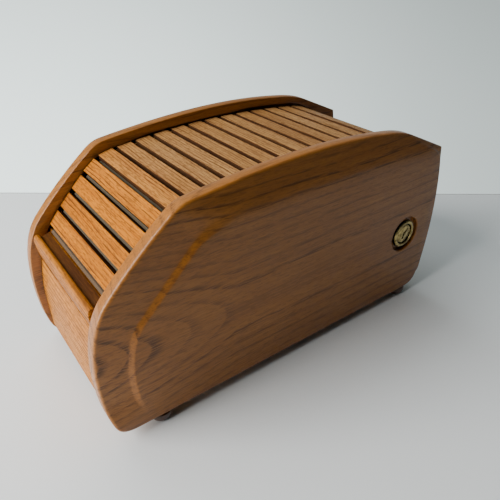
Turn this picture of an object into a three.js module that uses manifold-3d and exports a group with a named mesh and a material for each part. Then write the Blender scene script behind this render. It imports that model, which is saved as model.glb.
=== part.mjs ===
// Oak roll-top box: two shaped side panels carry a curved slatted curtain (a tambour)
// that runs in a groove from the front, over the crown, down the back and under the
// cavity floor. A cam lock in the right side panel catches the tail of the curtain.
//
// Millimetres, +X to the right side (the lock side), -Y to the front, +Z up.
// Profiles are drawn in the side view as (y, z), with y measured back from the nose of
// the side panels and z up from their bottom edge; the last group moves them into place.

import * as THREE from 'three';
import { mergeVertices } from 'three/addons/utils/BufferGeometryUtils.js';
import Module from 'manifold-3d';

const wasm = await Module();
wasm.setup();

// ---- Driving dimensions ---------------------------------------------------------------

const WIDTH = 123.7;            // over both side panels
const DEPTH = 270.4;            // nose to the rearmost point of the side panels
const PANEL = 12.7;             // side panel thickness, half-inch stock
const FIELD_RISE = 1.6;         // raised field over the cut-back border of a side panel
const PANEL_EDGE = 2.2;         // radius of the rounded panel edges
const GAP = 0.3;                // clearance between glued or screwed neighbours

const SLAT_COUNT = 23;
const SLAT_PITCH = 13.4;
const SLAT_WIDTH = 10.2;
const SLAT_THICK = 6;
const SLAT_END_GAP = 1;         // slat shoulder to the inner face of a side panel
const FIRST_SLAT = 12.5;        // track length from the track's start to the first slat
const TONGUE_THICK = 3;
const TONGUE_REACH = 5.75;      // how far a tongue enters the side panel
const GROOVE_DEPTH = 6.5;
const CANVAS_THICK = 0.5;
const CANVAS_HALF = 46;         // half the width of the canvas

const TRACK_START = { y: 13.5, z: 79, heading: 52 };
const REAR_BEND_RADIUS = 48;
const FLOOR_BEND_RADIUS = 45;
const FLOOR_TRACK_Z = 14;       // outer face of the curtain where it runs under the floor

const BOARD = 4;                // thin boards: cavity floor, inner back, back board
const CAVITY_FLOOR_Z = 27.4;     // underside of the cavity floor
const INNER_BACK_Y = 220;       // front face of the inner back

const RAIL_HALF = 46;           // half the length of the lift rail between the panels

const LOCK = { y: 238, z: 53.4 };
const LOCK_SINK_RADIUS = 13.8;  // counterbore around the lock
const LOCK_SINK_DEPTH = 3.5;
const LOCK_HEAD_RADIUS = 11;
const LOCK_BARREL_RADIUS = 7.75;
const LOCK_PLUG_RADIUS = 5.5;
const LOCK_FACE_RADIUS = 7.7;   // visible round face of the plug
const LOCK_INNER_END = 38.5;    // x of the barrel's inner end
const CAM_LENGTH = 12.6;
const CAM_THICK = 2.2;

const FOOT_RADIUS = 7;
const FOOT_HEIGHT = 7;
const FOOT_X = 54.85;
const FOOT_Y = [34, 248];

const OUTER = WIDTH / 2;
const INNER = OUTER - PANEL;
const BOARD_HALF = INNER - GAP; // half the length of the boards between the panels

// ---- Materials ------------------------------------------------------------------------

const finish = (color, roughness, metalness = 0) =>
  new THREE.MeshStandardMaterial({ color, roughness, metalness });

const oakPanel = finish(0x8a5a34, 0.4);
const oakSlat = finish(0xc98a4c, 0.45);
const oakRail = finish(0xb5763f, 0.45);
const plainBoard = finish(0xa97c50, 0.7);
const canvas = finish(0x6b5c48, 0.95);
const brass = finish(0xb59a55, 0.3, 1);
const steel = finish(0x8d8d8a, 0.4, 1);
const darkFoot = finish(0x3a2a1d, 0.5);

// ---- Solid helpers --------------------------------------------------------------------

// Keeps only the positions, joins shared corners, drops collapsed triangles and makes the
// faces point outwards.
function weld(geometry) {
  const bare = geometry.clone();
  bare.deleteAttribute('normal');
  bare.deleteAttribute('uv');
  const merged = mergeVertices(bare, 1e-4);
  const index = Array.from(merged.index.array);
  const corner = (i) => new THREE.Vector3().fromBufferAttribute(merged.attributes.position, i);
  const faces = [];
  let volume = 0;
  for (let i = 0; i < index.length; i += 3) {
    const [a, b, c] = index.slice(i, i + 3);
    if (a === b || b === c || c === a) continue;
    faces.push([a, b, c]);
    volume += corner(a).dot(corner(b).cross(corner(c)));
  }
  if (volume < 0) faces.forEach((face) => face.reverse());
  merged.setIndex(faces.flat());
  return merged;
}

function toManifold(geometry) {
  const solid = weld(geometry);
  return new wasm.Manifold(new wasm.Mesh({
    numProp: 3,
    vertProperties: new Float32Array(solid.attributes.position.array),
    triVerts: new Uint32Array(solid.index.array),
  }));
}

function fromManifold(solid) {
  const { vertProperties, triVerts } = solid.getMesh();
  const geometry = new THREE.BufferGeometry();
  geometry.setAttribute('position', new THREE.BufferAttribute(vertProperties, 3));
  geometry.setIndex(new THREE.BufferAttribute(triVerts, 1));
  return geometry;
}

const cut = (base, ...tools) => fromManifold(
  tools.reduce((solid, tool) => solid.subtract(toManifold(tool)), toManifold(base)));

const join = (base, ...others) => fromManifold(
  others.reduce((solid, other) => solid.add(toManifold(other)), toManifold(base)));

// A side-view shape (y, z) pushed along X from x0 to x1, with optional rounded edges.
function sideExtrude(shape, x0, x1, edge = 0) {
  const geometry = new THREE.ExtrudeGeometry(shape, {
    depth: x1 - x0 - 2 * edge,
    bevelEnabled: edge > 0,
    bevelThickness: edge,
    bevelSize: edge,
    bevelOffset: -edge,
    bevelSegments: 2,
    curveSegments: 8,
  });
  geometry.translate(0, 0, x0 + edge);
  geometry.applyMatrix4(new THREE.Matrix4().makeBasis(
    new THREE.Vector3(0, 1, 0), new THREE.Vector3(0, 0, 1), new THREE.Vector3(1, 0, 0)));
  return geometry;
}

// The same solid on the other side of the box.
function mirrored(geometry) {
  const copy = geometry.clone();
  copy.scale(-1, 1, 1);
  return weld(copy);
}

const polygon = (points) => new THREE.Shape(points.map(([y, z]) => new THREE.Vector2(y, z)));

const block = (x0, x1, y0, y1, z0, z1) => new THREE.BoxGeometry(x1 - x0, y1 - y0, z1 - z0)
  .translate((x0 + x1) / 2, (y0 + y1) / 2, (z0 + z1) / 2);

// A turned piece about the X axis through (y, z); the profile is a list of [radius, x].
function turnedX(profile, y, z, segments = 28) {
  const points = profile.map(([radius, x]) => new THREE.Vector2(radius, x));
  return new THREE.LatheGeometry(points, segments).rotateZ(-Math.PI / 2).translate(0, y, z);
}

// A turned piece about a vertical axis through (x, y); the profile is [radius, z].
function turnedZ(profile, x, y, segments = 18) {
  const points = profile.map(([radius, z]) => new THREE.Vector2(radius, z));
  return new THREE.LatheGeometry(points, segments).rotateX(Math.PI / 2).translate(x, y, 0);
}

// ---- The curtain's track --------------------------------------------------------------

// The track is the line of the slats' outer faces: a chain of arcs and straights, each
// with its length and the angle it turns through.
const bend = (radius, turn) => ({ length: radius * THREE.MathUtils.degToRad(turn), turn: -turn });

const upperTrack = [
  { length: 50, turn: -9 },      // front slope, slightly crowned
  { length: 20, turn: -35 },     // shoulder
  { length: 152, turn: -14.3 },  // crown
  bend(REAR_BEND_RADIUS, 83.7),  // rear bend, down to the vertical
];

function walkTrack(segments, distance) {
  let { y, z } = TRACK_START;
  let heading = THREE.MathUtils.degToRad(TRACK_START.heading);
  let left = distance;
  for (const [i, { length, turn }] of segments.entries()) {
    const last = i === segments.length - 1;
    const before = i === 0 && left < 0;
    const step = last || before ? left : Math.min(left, length);
    const turned = before ? 0 : THREE.MathUtils.degToRad(turn) * (step / length);
    const chord = Math.abs(turned) > 1e-9 ? 2 * step * Math.sin(turned / 2) / turned : step;
    y += chord * Math.cos(heading + turned / 2);
    z += chord * Math.sin(heading + turned / 2);
    heading += turned;
    left -= step;
    if (left <= 0 || before) break;
  }
  return { y, z, heading };
}

const lengthOf = (segments) => segments.reduce((sum, { length }) => sum + length, 0);
const rearFoot = walkTrack(upperTrack, lengthOf(upperTrack));
const track = [
  ...upperTrack,
  { length: rearFoot.z - FLOOR_TRACK_Z - FLOOR_BEND_RADIUS, turn: 0 },
  bend(FLOOR_BEND_RADIUS, 90),
  { length: 45, turn: 0 },
];
const TRACK_END = lengthOf(track);

// The point at a distance along the track and a height out from it.
function trackPoint(distance, height = 0) {
  const { y, z, heading } = walkTrack(track, distance);
  return [y - height * Math.sin(heading), z + height * Math.cos(heading)];
}

// A band that follows the track between two heights, each a number or a function.
function trackBand(from, to, steps, low, high) {
  const heightAt = (height, s) => (typeof height === 'function' ? height(s) : height);
  const along = Array.from({ length: steps + 1 }, (_, i) => from + (to - from) * i / steps);
  const lower = along.map((s) => trackPoint(s, heightAt(low, s)));
  const upper = along.map((s) => trackPoint(s, heightAt(high, s)));
  return polygon([...lower, ...upper.reverse()]);
}

// Walls of the groove, as heights from the track. It is tight on the straights and eased
// where the flat slats cut across the bends: [distance, inner wall, outer wall].
const grooveWalls = [
  [-8, -6.6, -2.2], [12, -6.8, -0.4], [30, -8.4, -0.4], [45, -10.7, -1.2], [75, -10.7, -0.4],
  [95, -8, 0.8], [135, -8.9, 0.8], [165, -8.9, 0.8], [180, -8, 2.1], [222, -10.4, 2.1],
  [240, -10.4, 1.1], [285, -9.6, 1.1], [300, -7.8, 1.3], [330, -8.9, 1.1], [385, -9, 0.8],
  [440, -10, 0.4],
];

function grooveWall(column) {
  return (s) => {
    const next = Math.max(1, grooveWalls.findIndex(([distance]) => distance >= s));
    const [a, b] = [grooveWalls[next - 1], grooveWalls[next]];
    return THREE.MathUtils.mapLinear(s, a[0], b[0], a[column], b[column]);
  };
}

// ---- Side panels ----------------------------------------------------------------------

function panelOutline() {
  const shape = new THREE.Shape();
  shape.moveTo(17, 0);
  shape.lineTo(250, 0);
  shape.quadraticCurveTo(264, 0, 266.2, 18);
  shape.bezierCurveTo(269.9, 40, 273.6, 75, 265.8, 114.6);
  shape.lineTo(232, 129.3);
  shape.quadraticCurveTo(224, 132.6, 212, 134.2);
  shape.bezierCurveTo(165, 140.3, 118, 138.5, 62, 130.3);
  shape.quadraticCurveTo(55.5, 129.4, 49.5, 124);
  shape.quadraticCurveTo(29, 107.5, 12.7, 89.1);
  shape.bezierCurveTo(3.5, 79, 0, 62, 0, 42);
  shape.bezierCurveTo(0, 26, 2, 12, 5, 5.5);
  shape.quadraticCurveTo(7.6, 0, 17, 0);
  return shape;
}

function fieldOutline() {
  const shape = new THREE.Shape();
  shape.moveTo(30, 3);
  shape.lineTo(246, 3);
  shape.quadraticCurveTo(254, 3, 256.6, 18);
  shape.bezierCurveTo(260, 40, 262.5, 70, 256, 101);
  shape.quadraticCurveTo(254.5, 106.5, 246, 108.6);
  shape.bezierCurveTo(190, 114.5, 130, 111, 76, 108.8);
  shape.quadraticCurveTo(67, 108.4, 60, 101.5);
  shape.lineTo(30, 71);
  shape.quadraticCurveTo(20.6, 62, 20.4, 40);
  shape.bezierCurveTo(20.2, 28, 21, 14, 30, 3);
  return shape;
}

// The right side panel; the left one is its mirror image without the lock's hole.
function sidePanel() {
  const boardFace = OUTER - FIELD_RISE;
  const boardShape = sideExtrude(panelOutline(), INNER, boardFace, PANEL_EDGE);
  const field = sideExtrude(fieldOutline(), boardFace - 3, OUTER);
  const grooveSteps = 96;
  const groove = sideExtrude(
    trackBand(-5, TRACK_END, grooveSteps, grooveWall(1), grooveWall(2)),
    INNER - 1, INNER + GROOVE_DEPTH);
  const screwHoles = FOOT_Y.map((y) => turnedZ(
    [[0, -1], [1.9, -1], [1.9, 9.5], [0, 9.5]], FOOT_X, y, 12));
  return cut(join(boardShape, field), groove, ...screwHoles);
}

function lockHole() {
  const bore = LOCK_BARREL_RADIUS + 0.35;
  const shelf = OUTER - LOCK_SINK_DEPTH;
  return turnedX([
    [0, INNER - 1], [bore, INNER - 1], [bore, shelf],
    [LOCK_SINK_RADIUS, shelf], [LOCK_SINK_RADIUS, OUTER + 1], [0, OUTER + 1],
  ], LOCK.y, LOCK.z);
}

// ---- Boards between the side panels ---------------------------------------------------

function frontBoard() {
  const shape = new THREE.Shape();
  shape.moveTo(14, 3);
  shape.lineTo(14, 61.4);
  shape.lineTo(8.4, 61.4);
  shape.quadraticCurveTo(5, 47, 5, 34);
  shape.lineTo(5.2, 10);
  shape.quadraticCurveTo(5.6, 3, 9.5, 3);
  return sideExtrude(shape, -BOARD_HALF, BOARD_HALF);
}

function rearTopRail() {
  const bendCentreZ = rearFoot.z;
  const bendCentreY = rearFoot.y - REAR_BEND_RADIUS;
  const clear = REAR_BEND_RADIUS + 3.9;
  const under = [0.68, 0.56, 0.44, 0.32].map((angle) => [
    bendCentreY + clear * Math.cos(angle), bendCentreZ + clear * Math.sin(angle)]);
  return sideExtrude(polygon([
    ...under, [263.6, 95], [265.8, 95], [265.6, 104.6], [253.6, 111.6], [252.2, 111.9],
  ]), -BOARD_HALF, BOARD_HALF);
}

function rearBottomRail() {
  const shape = polygon([[250, 7.9], [260.4, 7.9], [264, 14], [265.6, 19.7], [250, 19.7]]);
  return sideExtrude(shape, -BOARD_HALF, BOARD_HALF);
}

const boardBlock = (y0, y1, z0, z1) => block(-BOARD_HALF, BOARD_HALF, y0, y1, z0, z1);

// A triangular block glued into the corner between the front board and a side panel, under
// the cavity floor.
function glueBlock() {
  const size = 9;
  const height = 16;
  const base = 8.2;
  const shape = polygon([[0, 0], [size, 0], [0, size]]);
  const geometry = new THREE.ExtrudeGeometry(shape, { depth: height, bevelEnabled: false });
  return geometry.rotateZ(Math.PI / 2).translate(INNER - GAP, 14 + GAP, base);
}

// ---- Curtain --------------------------------------------------------------------------

// A slat about its own origin: X along the slat, Y along the track, Z out from the track.
function slat() {
  const shoulder = INNER - SLAT_END_GAP;
  const end = INNER + TONGUE_REACH;
  const tongueTop = -SLAT_THICK + TONGUE_THICK;
  const shape = polygon([
    [-end, -SLAT_THICK], [end, -SLAT_THICK], [end, tongueTop], [shoulder, tongueTop],
    [shoulder, 0], [-shoulder, 0], [-shoulder, tongueTop], [-end, tongueTop],
  ]);
  return new THREE.ExtrudeGeometry(shape, { depth: SLAT_WIDTH, bevelEnabled: false })
    .rotateX(Math.PI / 2).translate(0, SLAT_WIDTH / 2, 0);
}

// The lift rail has a rounded lip with a shallow trough behind it, a rear leaf that the canvas
// is glued to, and a tongue at each end.
function liftRail() {
  const shape = new THREE.Shape();
  shape.moveTo(15.4, 61.9);
  shape.lineTo(8.6, 61.9);
  shape.quadraticCurveTo(6.2, 70, 5.9, 76.5);
  shape.quadraticCurveTo(5.9, 80.9, 8.2, 81);
  shape.quadraticCurveTo(9.9, 81, 10.2, 79.4);
  shape.quadraticCurveTo(10.4, 78.7, 11.2, 78.8);
  shape.lineTo(16.2, 80.4);
  shape.lineTo(...trackPoint(2.6, -2.4));
  shape.lineTo(...trackPoint(2.8, -3));
  shape.lineTo(...trackPoint(4.2, -3));
  shape.lineTo(...trackPoint(4.2, -SLAT_THICK));
  shape.lineTo(...trackPoint(-4, -SLAT_THICK - 1));
  const body = sideExtrude(shape, -RAIL_HALF, RAIL_HALF);
  const tongueShape = trackBand(-3, 4.2, 2, -SLAT_THICK, TONGUE_THICK - SLAT_THICK);
  const tongues = sideExtrude(tongueShape, -INNER - TONGUE_REACH, INNER + TONGUE_REACH);
  return join(body, tongues);
}

function canvasBacking() {
  const lastSlat = FIRST_SLAT + (SLAT_COUNT - 1) * SLAT_PITCH;
  const top = -SLAT_THICK - GAP;
  const shape = trackBand(4.8, lastSlat + SLAT_WIDTH / 2, 64, top - CANVAS_THICK, top);
  return sideExtrude(shape, -CANVAS_HALF, CANVAS_HALF);
}

// The block on the tail of the curtain that the lock's cam catches.
function tailStrike() {
  const tail = FIRST_SLAT + (SLAT_COUNT - 1) * SLAT_PITCH;
  const outer = -SLAT_THICK - CANVAS_THICK - 2 * GAP;
  const shape = trackBand(tail - 4, tail + 2.3, 1, outer - 3.5, outer);
  return sideExtrude(shape, 26, 36.4);
}

// ---- Lock -----------------------------------------------------------------------------

function lockHousing() {
  const seat = OUTER - LOCK_SINK_DEPTH + GAP;
  const face = OUTER - 0.2;
  const recess = LOCK_FACE_RADIUS + 0.3;
  const bore = LOCK_PLUG_RADIUS + 0.25;
  return turnedX([
    [bore, LOCK_INNER_END], [LOCK_BARREL_RADIUS, LOCK_INNER_END], [LOCK_BARREL_RADIUS, seat],
    [LOCK_HEAD_RADIUS, seat], [LOCK_HEAD_RADIUS, face - 1.4], [LOCK_HEAD_RADIUS - 0.5, face - 0.4],
    [LOCK_HEAD_RADIUS - 1.5, face], [recess + 0.6, face], [recess, face - 0.6],
    [recess, seat + 1], [bore, seat + 1], [bore, LOCK_INNER_END],
  ], LOCK.y, LOCK.z);
}

function lockPlug() {
  const seat = OUTER - LOCK_SINK_DEPTH + GAP;
  const neck = LOCK_INNER_END - 2;
  const face = OUTER - 0.9;
  const tenonEnd = neck - CAM_THICK - 2 * GAP;
  const turned = turnedX([
    [1.6, tenonEnd], [3.4, tenonEnd], [3.4, neck], [LOCK_PLUG_RADIUS, neck],
    [LOCK_PLUG_RADIUS, seat + 1.3], [LOCK_FACE_RADIUS, seat + 1.3], [LOCK_FACE_RADIUS, face - 0.3],
    [LOCK_FACE_RADIUS - 0.3, face], [0, face], [0, tenonEnd + 6], [1.6, tenonEnd + 6],
    [1.6, tenonEnd],
  ], LOCK.y, LOCK.z);
  const slotDepth = 6;
  const keyway = sideExtrude(polygon([
    [-1.7, -4.1], [0.1, -4.2], [0.5, -0.6], [4.4, 2.6], [3.6, 3.7], [-0.9, 0.5],
  ]), face - slotDepth, face + 1);
  return cut(turned, keyway.translate(0, LOCK.y, LOCK.z));
}

// The cam stands upright at rest, which is unlocked; a quarter turn lays it to the rear.
function lockCam() {
  const hub = 6;
  const tip = 3.6;
  const shape = new THREE.Shape();
  shape.absarc(0, 0, hub, Math.PI, 2 * Math.PI);
  shape.lineTo(tip + 0.6, CAM_LENGTH - tip);
  shape.absarc(0.6, CAM_LENGTH - tip, tip, 0, Math.PI);
  shape.lineTo(-hub, 0);
  const hole = new THREE.Path();
  hole.absarc(0, 0, 3.7, 0, 2 * Math.PI);
  shape.holes.push(hole);
  const inner = LOCK_INNER_END - 2 - GAP - CAM_THICK;
  return sideExtrude(shape, inner, inner + CAM_THICK).translate(0, LOCK.y, LOCK.z);
}

function camScrew() {
  const seat = LOCK_INNER_END - 2 - CAM_THICK - 3 * GAP;
  return turnedX([
    [0, seat - 2.2], [3.2, seat - 2.2], [4.4, seat - 1.2], [4.4, seat], [1.3, seat],
    [1.3, seat + 5], [0, seat + 5],
  ], LOCK.y, LOCK.z, 18);
}

function lockNut() {
  const shape = new THREE.Shape();
  const corner = 11.2;
  for (let i = 0; i < 6; i += 1) {
    const angle = Math.PI / 2 + i * Math.PI / 3;
    shape[i ? 'lineTo' : 'moveTo'](corner * Math.cos(angle), corner * Math.sin(angle));
  }
  const hole = new THREE.Path();
  hole.absarc(0, 0, LOCK_BARREL_RADIUS + GAP, 0, 2 * Math.PI);
  shape.holes.push(hole);
  return sideExtrude(shape, INNER - GAP - 3.4, INNER - GAP).translate(0, LOCK.y, LOCK.z);
}

// ---- Feet -----------------------------------------------------------------------------

function foot(x, y) {
  return turnedZ([
    [1.9, -GAP], [FOOT_RADIUS - 0.4, -GAP], [FOOT_RADIUS, -1.2], [FOOT_RADIUS, -2.4],
    [6.5, -4.4], [5.6, -6.1], [4.7, -FOOT_HEIGHT], [3.5, -FOOT_HEIGHT], [3.5, -4.4],
    [1.9, -4.4], [1.9, -GAP],
  ], x, y);
}

function footScrew(x, y) {
  return turnedZ([
    [0, -6.2], [2.2, -6.2], [3.1, -5.6], [3.1, -4.7], [1.5, -4.7], [1.5, 8], [0.4, 9], [0, 9],
  ], x, y, 12);
}

// ---- Assembly -------------------------------------------------------------------------

const box = new THREE.Group();
box.position.set(0, -DEPTH / 2, FOOT_HEIGHT);

function add(name, geometry, material) {
  const mesh = new THREE.Mesh(weld(geometry), material);
  mesh.name = name;
  box.add(mesh);
  return mesh;
}

const plainPanel = sidePanel();
add('right_side_panel', cut(plainPanel, lockHole()), oakPanel);
add('left_side_panel', mirrored(plainPanel), oakPanel);

const backY = rearFoot.y + 4.1;
add('front_board', frontBoard(), oakRail);
add('bottom_board', boardBlock(14.3, 258.5, 3, 7.6), plainBoard);
add('back_board', boardBlock(backY, backY + 2.8, 20, 94.6), oakPanel);
add('rear_bottom_rail', rearBottomRail(), oakPanel);
add('rear_top_rail', rearTopRail(), oakPanel);
add('cavity_floor', boardBlock(14.3, INNER_BACK_Y - GAP, CAVITY_FLOOR_Z, CAVITY_FLOOR_Z + BOARD),
  plainBoard);
add('inner_back', boardBlock(INNER_BACK_Y, INNER_BACK_Y + BOARD, CAVITY_FLOOR_Z, 113), plainBoard);
const cleat = block(INNER - GAP - 8, INNER - GAP, 24, 160, 7.9, CAVITY_FLOOR_Z - GAP);
add('floor_cleat_right', cleat, plainBoard);
add('floor_cleat_left', mirrored(cleat), plainBoard);
add('glue_block_right', glueBlock(), plainBoard);
add('glue_block_left', mirrored(glueBlock()), plainBoard);

add('lift_rail', liftRail(), oakRail);
for (let i = 0; i < SLAT_COUNT; i += 1) {
  const mesh = add(`slat_${String(i + 1).padStart(2, '0')}`, slat(), oakSlat);
  const { y, z, heading } = walkTrack(track, FIRST_SLAT + i * SLAT_PITCH);
  mesh.position.set(0, y, z);
  mesh.rotation.x = heading;
}
add('canvas_backing', canvasBacking(), canvas);
add('tail_strike', tailStrike(), oakRail);

add('lock_housing', lockHousing(), brass);
add('lock_plug', lockPlug(), brass);
add('lock_cam', lockCam(), steel);
add('cam_screw', camScrew(), steel);
add('lock_nut', lockNut(), brass);

for (const [side, x] of [['right', FOOT_X], ['left', -FOOT_X]]) {
  for (const [end, y] of [['front', FOOT_Y[0]], ['rear', FOOT_Y[1]]]) {
    add(`foot_${end}_${side}`, foot(x, y), darkFoot);
    add(`foot_screw_${end}_${side}`, footScrew(x, y), steel);
  }
}

export default box;
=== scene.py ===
import math
import random

import bmesh
import bpy
from mathutils import Matrix, Vector


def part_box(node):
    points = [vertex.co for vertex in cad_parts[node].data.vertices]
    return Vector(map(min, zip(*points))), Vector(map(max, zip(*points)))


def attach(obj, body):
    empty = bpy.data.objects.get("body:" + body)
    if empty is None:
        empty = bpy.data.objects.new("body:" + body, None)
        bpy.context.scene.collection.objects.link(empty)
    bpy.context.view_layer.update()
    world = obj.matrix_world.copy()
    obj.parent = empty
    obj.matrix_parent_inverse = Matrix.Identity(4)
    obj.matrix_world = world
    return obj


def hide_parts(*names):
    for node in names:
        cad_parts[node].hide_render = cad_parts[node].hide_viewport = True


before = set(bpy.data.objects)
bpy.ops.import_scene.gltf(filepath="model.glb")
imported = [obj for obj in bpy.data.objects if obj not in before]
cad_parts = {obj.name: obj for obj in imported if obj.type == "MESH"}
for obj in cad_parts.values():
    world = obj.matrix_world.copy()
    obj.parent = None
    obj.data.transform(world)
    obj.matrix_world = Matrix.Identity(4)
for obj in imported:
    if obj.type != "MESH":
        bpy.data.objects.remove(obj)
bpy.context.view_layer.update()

# A small roll-top box in varnished oak: two shaped side panels with a raised field, a curtain
# of slats on canvas, and a brass cam lock. Sizes are in millimetres until a mesh is made.
# X runs across the box, Y to the rear, Z up. Side-view shapes are lists of (y, z), with y from
# the panels' nose and z from their lower edge.

MM = 0.001
OUTER = 61.85                # outer face of the side panels' raised field
INNER = 49.15                # inner face of the side panels
GAP = 0.3
BOARD_HALF = INNER - GAP
RIM_RADIUS = 1.9             # round edge of a side panel
RIM_DROP = (4.0, 1.8)        # depth of the border below the field at the rim: front, rear
REAR_EASE = (215.0, 262.0)   # y between which the drop goes from the front to the rear value
COVE_CRISP = (4.2, 2.3)      # width and depth of the step beside the field, at the front
COVE_SOFT = (9.0, 0.9)       # and along the top and the rear
CRISP_UNTIL = (58.0, 88.0)   # y between which the crisp step turns into the soft one
FADE = (3.0, 26.0)           # heights between which the border's drop comes in
GROOVE_DEPTH = 6.5
SLAT_COUNT = 23
SLAT_PITCH = 13.4
SLAT_WIDTH = 10.2
SLAT_THICK = 6.0
FIRST_SLAT = 12.5
RAIL_HALF = 46.0
CANVAS_HALF = 46.0
CANVAS_THICK = 0.5
CANVAS_BULGE = 3.4           # how far the canvas stands up between the slats on the slope
SLACK_UNTIL = 100.0          # distance along the track where the slack ends
CANVAS_REACH = SLAT_PITCH / 2 - 0.02    # half length of a strip of canvas
NARROW_REACH = SLAT_WIDTH / 2 + 1.1
TAIL_REACH = SLAT_WIDTH / 2 + 0.3
PINCHED = (100.0, 192.0)     # where strips are narrow, since the slats close up when open
LOCK_SINK_RADIUS = 13.8
LOCK_SINK_DEPTH = 3.5
LOCK_BORE = 8.1
LOCK_INNER_END = 38.5        # inner end of the lock's barrel
LOCK_SEAT = OUTER - LOCK_SINK_DEPTH + GAP
LOCK_HEAD_RADIUS = 11.0
LOCK_PLUG_RADIUS = 7.3
LOCK_NECK = LOCK_INNER_END - 2.0
CAM_THICK = 2.2
NUT_CORNER = 11.2            # from the axis of the lock to a corner of its nut
TRACK_START = (13.5, 79.0, math.radians(52))
# Stretches of the track: length, and turn in degrees.
UPPER_TRACK = [(50.0, -9.0), (20.0, -35.0), (152.0, -14.3), (48 * math.radians(83.7), -83.7)]
FLOOR_TRACK_Z = 14.0
FLOOR_BEND = 45.0

PANEL_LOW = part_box("right_side_panel")[0]
ORIGIN = Vector((0, PANEL_LOW.y, PANEL_LOW.z))
RIGHT, LEFT = 1, -1


# ---- Shapes in side view --------------------------------------------------------------

def quadratic(a, b, c, t):
    return tuple((1 - t) ** 2 * a[i] + 2 * t * (1 - t) * b[i] + t * t * c[i] for i in (0, 1))


def cubic(a, b, c, d, t):
    s = 1 - t
    return tuple(s ** 3 * a[i] + 3 * s * s * t * b[i] + 3 * s * t * t * c[i] + t ** 3 * d[i]
                 for i in (0, 1))


def trace(start, *steps, fine=12):
    """Points along a path. A step is its end point, after one or two control points if it bends."""
    points = [start]
    for step in steps:
        a = points[-1]
        if len(step) == 1:
            points.append(step[0])
        else:
            curve = quadratic if len(step) == 2 else cubic
            points += [curve(a, *step, i / fine) for i in range(1, fine + 1)]
    return points


def arc(centre_y, centre_z, radius, start, end, count):
    """Points on an arc, between two angles in degrees."""
    angles = [math.radians(start + (end - start) * i / count) for i in range(count + 1)]
    return [(centre_y + radius * math.cos(a), centre_z + radius * math.sin(a)) for a in angles]


def resample(points, count):
    """The same path as count points at even spacing, without its last point."""
    lengths = [0.0]
    for a, b in zip(points, points[1:]):
        lengths.append(lengths[-1] + math.dist(a, b))
    result, k = [], 0
    for i in range(count):
        target = lengths[-1] * i / count
        while lengths[k + 1] < target:
            k += 1
        t = (target - lengths[k]) / (lengths[k + 1] - lengths[k])
        a, b = points[k], points[k + 1]
        result.append((a[0] + (b[0] - a[0]) * t, a[1] + (b[1] - a[1]) * t))
    return result


def inset(points, distance):
    """A closed counter-clockwise outline moved inwards; distance may be a list, one per point."""
    result = []
    for i, (y, z) in enumerate(points):
        d = distance[i] if isinstance(distance, list) else distance
        (ay, az), (by, bz) = points[i - 1], points[(i + 1) % len(points)]
        length = math.hypot(by - ay, bz - az) or 1
        result.append((y - (bz - az) / length * d, z + (by - ay) / length * d))
    return result


def smoothstep(low, high, value):
    t = min(1.0, max(0.0, (value - low) / (high - low)))
    return t * t * (3 - 2 * t)


# ---- The curtain's track --------------------------------------------------------------

def walk(segments, distance):
    """Where the track has got to after a distance: y, z and heading."""
    y, z, heading = TRACK_START
    left = distance
    for i, (length, turn) in enumerate(segments):
        last = i == len(segments) - 1 or (i == 0 and left < 0)
        step = left if last else min(left, length)
        turned = math.radians(turn) * step / length if left >= 0 else 0.0
        chord = 2 * step * math.sin(turned / 2) / turned if abs(turned) > 1e-9 else step
        y += chord * math.cos(heading + turned / 2)
        z += chord * math.sin(heading + turned / 2)
        heading += turned
        left -= step
        if left <= 0:
            break
    return y, z, heading


def length_of(segments):
    return sum(length for length, turn in segments)


REAR_FOOT = walk(UPPER_TRACK, length_of(UPPER_TRACK))
TRACK = UPPER_TRACK + [
    (REAR_FOOT[1] - FLOOR_TRACK_Z - FLOOR_BEND, 0.0),
    (FLOOR_BEND * math.radians(90), -90.0),
    (45.0, 0.0),
]


def track_point(distance, height=0.0):
    """The point at a distance along the track and a height out from it."""
    y, z, heading = walk(TRACK, distance)
    return y - height * math.sin(heading), z + height * math.cos(heading)


def track_band(start, end, steps, low, high):
    """A closed outline that follows the track between two heights, numbers or functions."""
    def height(value, s):
        return value(s) if callable(value) else value

    along = [start + (end - start) * i / steps for i in range(steps + 1)]
    lower = [track_point(s, height(low, s)) for s in along]
    upper = [track_point(s, height(high, s)) for s in along]
    return lower + upper[::-1]


# ---- Mesh helpers ---------------------------------------------------------------------

def row(x, y, z):
    """A point given in millimetres from the panel's nose, in the row's frame."""
    return Vector((x, y, z)) * MM + ORIGIN


def box_mm(node):
    """The lower and upper corner of a CAD node, in millimetres from the panel's nose."""
    low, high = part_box(node)
    return (low - ORIGIN) / MM, (high - ORIGIN) / MM


def new_object(name, mesh):
    piece = bpy.data.objects.new(name, mesh)
    bpy.context.scene.collection.objects.link(piece)
    return piece


def mesh_from_bm(name, bm, smooth=35.0):
    bmesh.ops.recalc_face_normals(bm, faces=bm.faces)
    mesh = bpy.data.meshes.new(name)
    bm.to_mesh(mesh)
    bm.free()
    mesh.shade_smooth()
    mesh.set_sharp_from_angle(angle=math.radians(smooth))
    return mesh


def rings_to_bm(rings):
    """Joins rings of points, each the same length, into a skin, closed at both ends."""
    bm = bmesh.new()
    loops = [[bm.verts.new(p) for p in ring] for ring in rings]
    n = len(rings[0])
    for a, b in zip(loops, loops[1:]):
        for i in range(n):
            j = (i + 1) % n
            bm.faces.new((a[i], a[j], b[j], b[i]))
    bm.faces.new(loops[0][::-1])
    bm.faces.new(loops[-1])
    return bm


def prism(name, outline, x0, x1, edge=0.0, segments=2):
    """A side-view outline pushed along X, with rounded edges all round."""
    rings = [[row(x, y, z) for y, z in outline] for x in (x0, x1)]
    piece = new_object(name, mesh_from_bm(name, rings_to_bm(rings)))
    if edge:
        round_edges(piece, edge, segments)
    return piece


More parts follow.
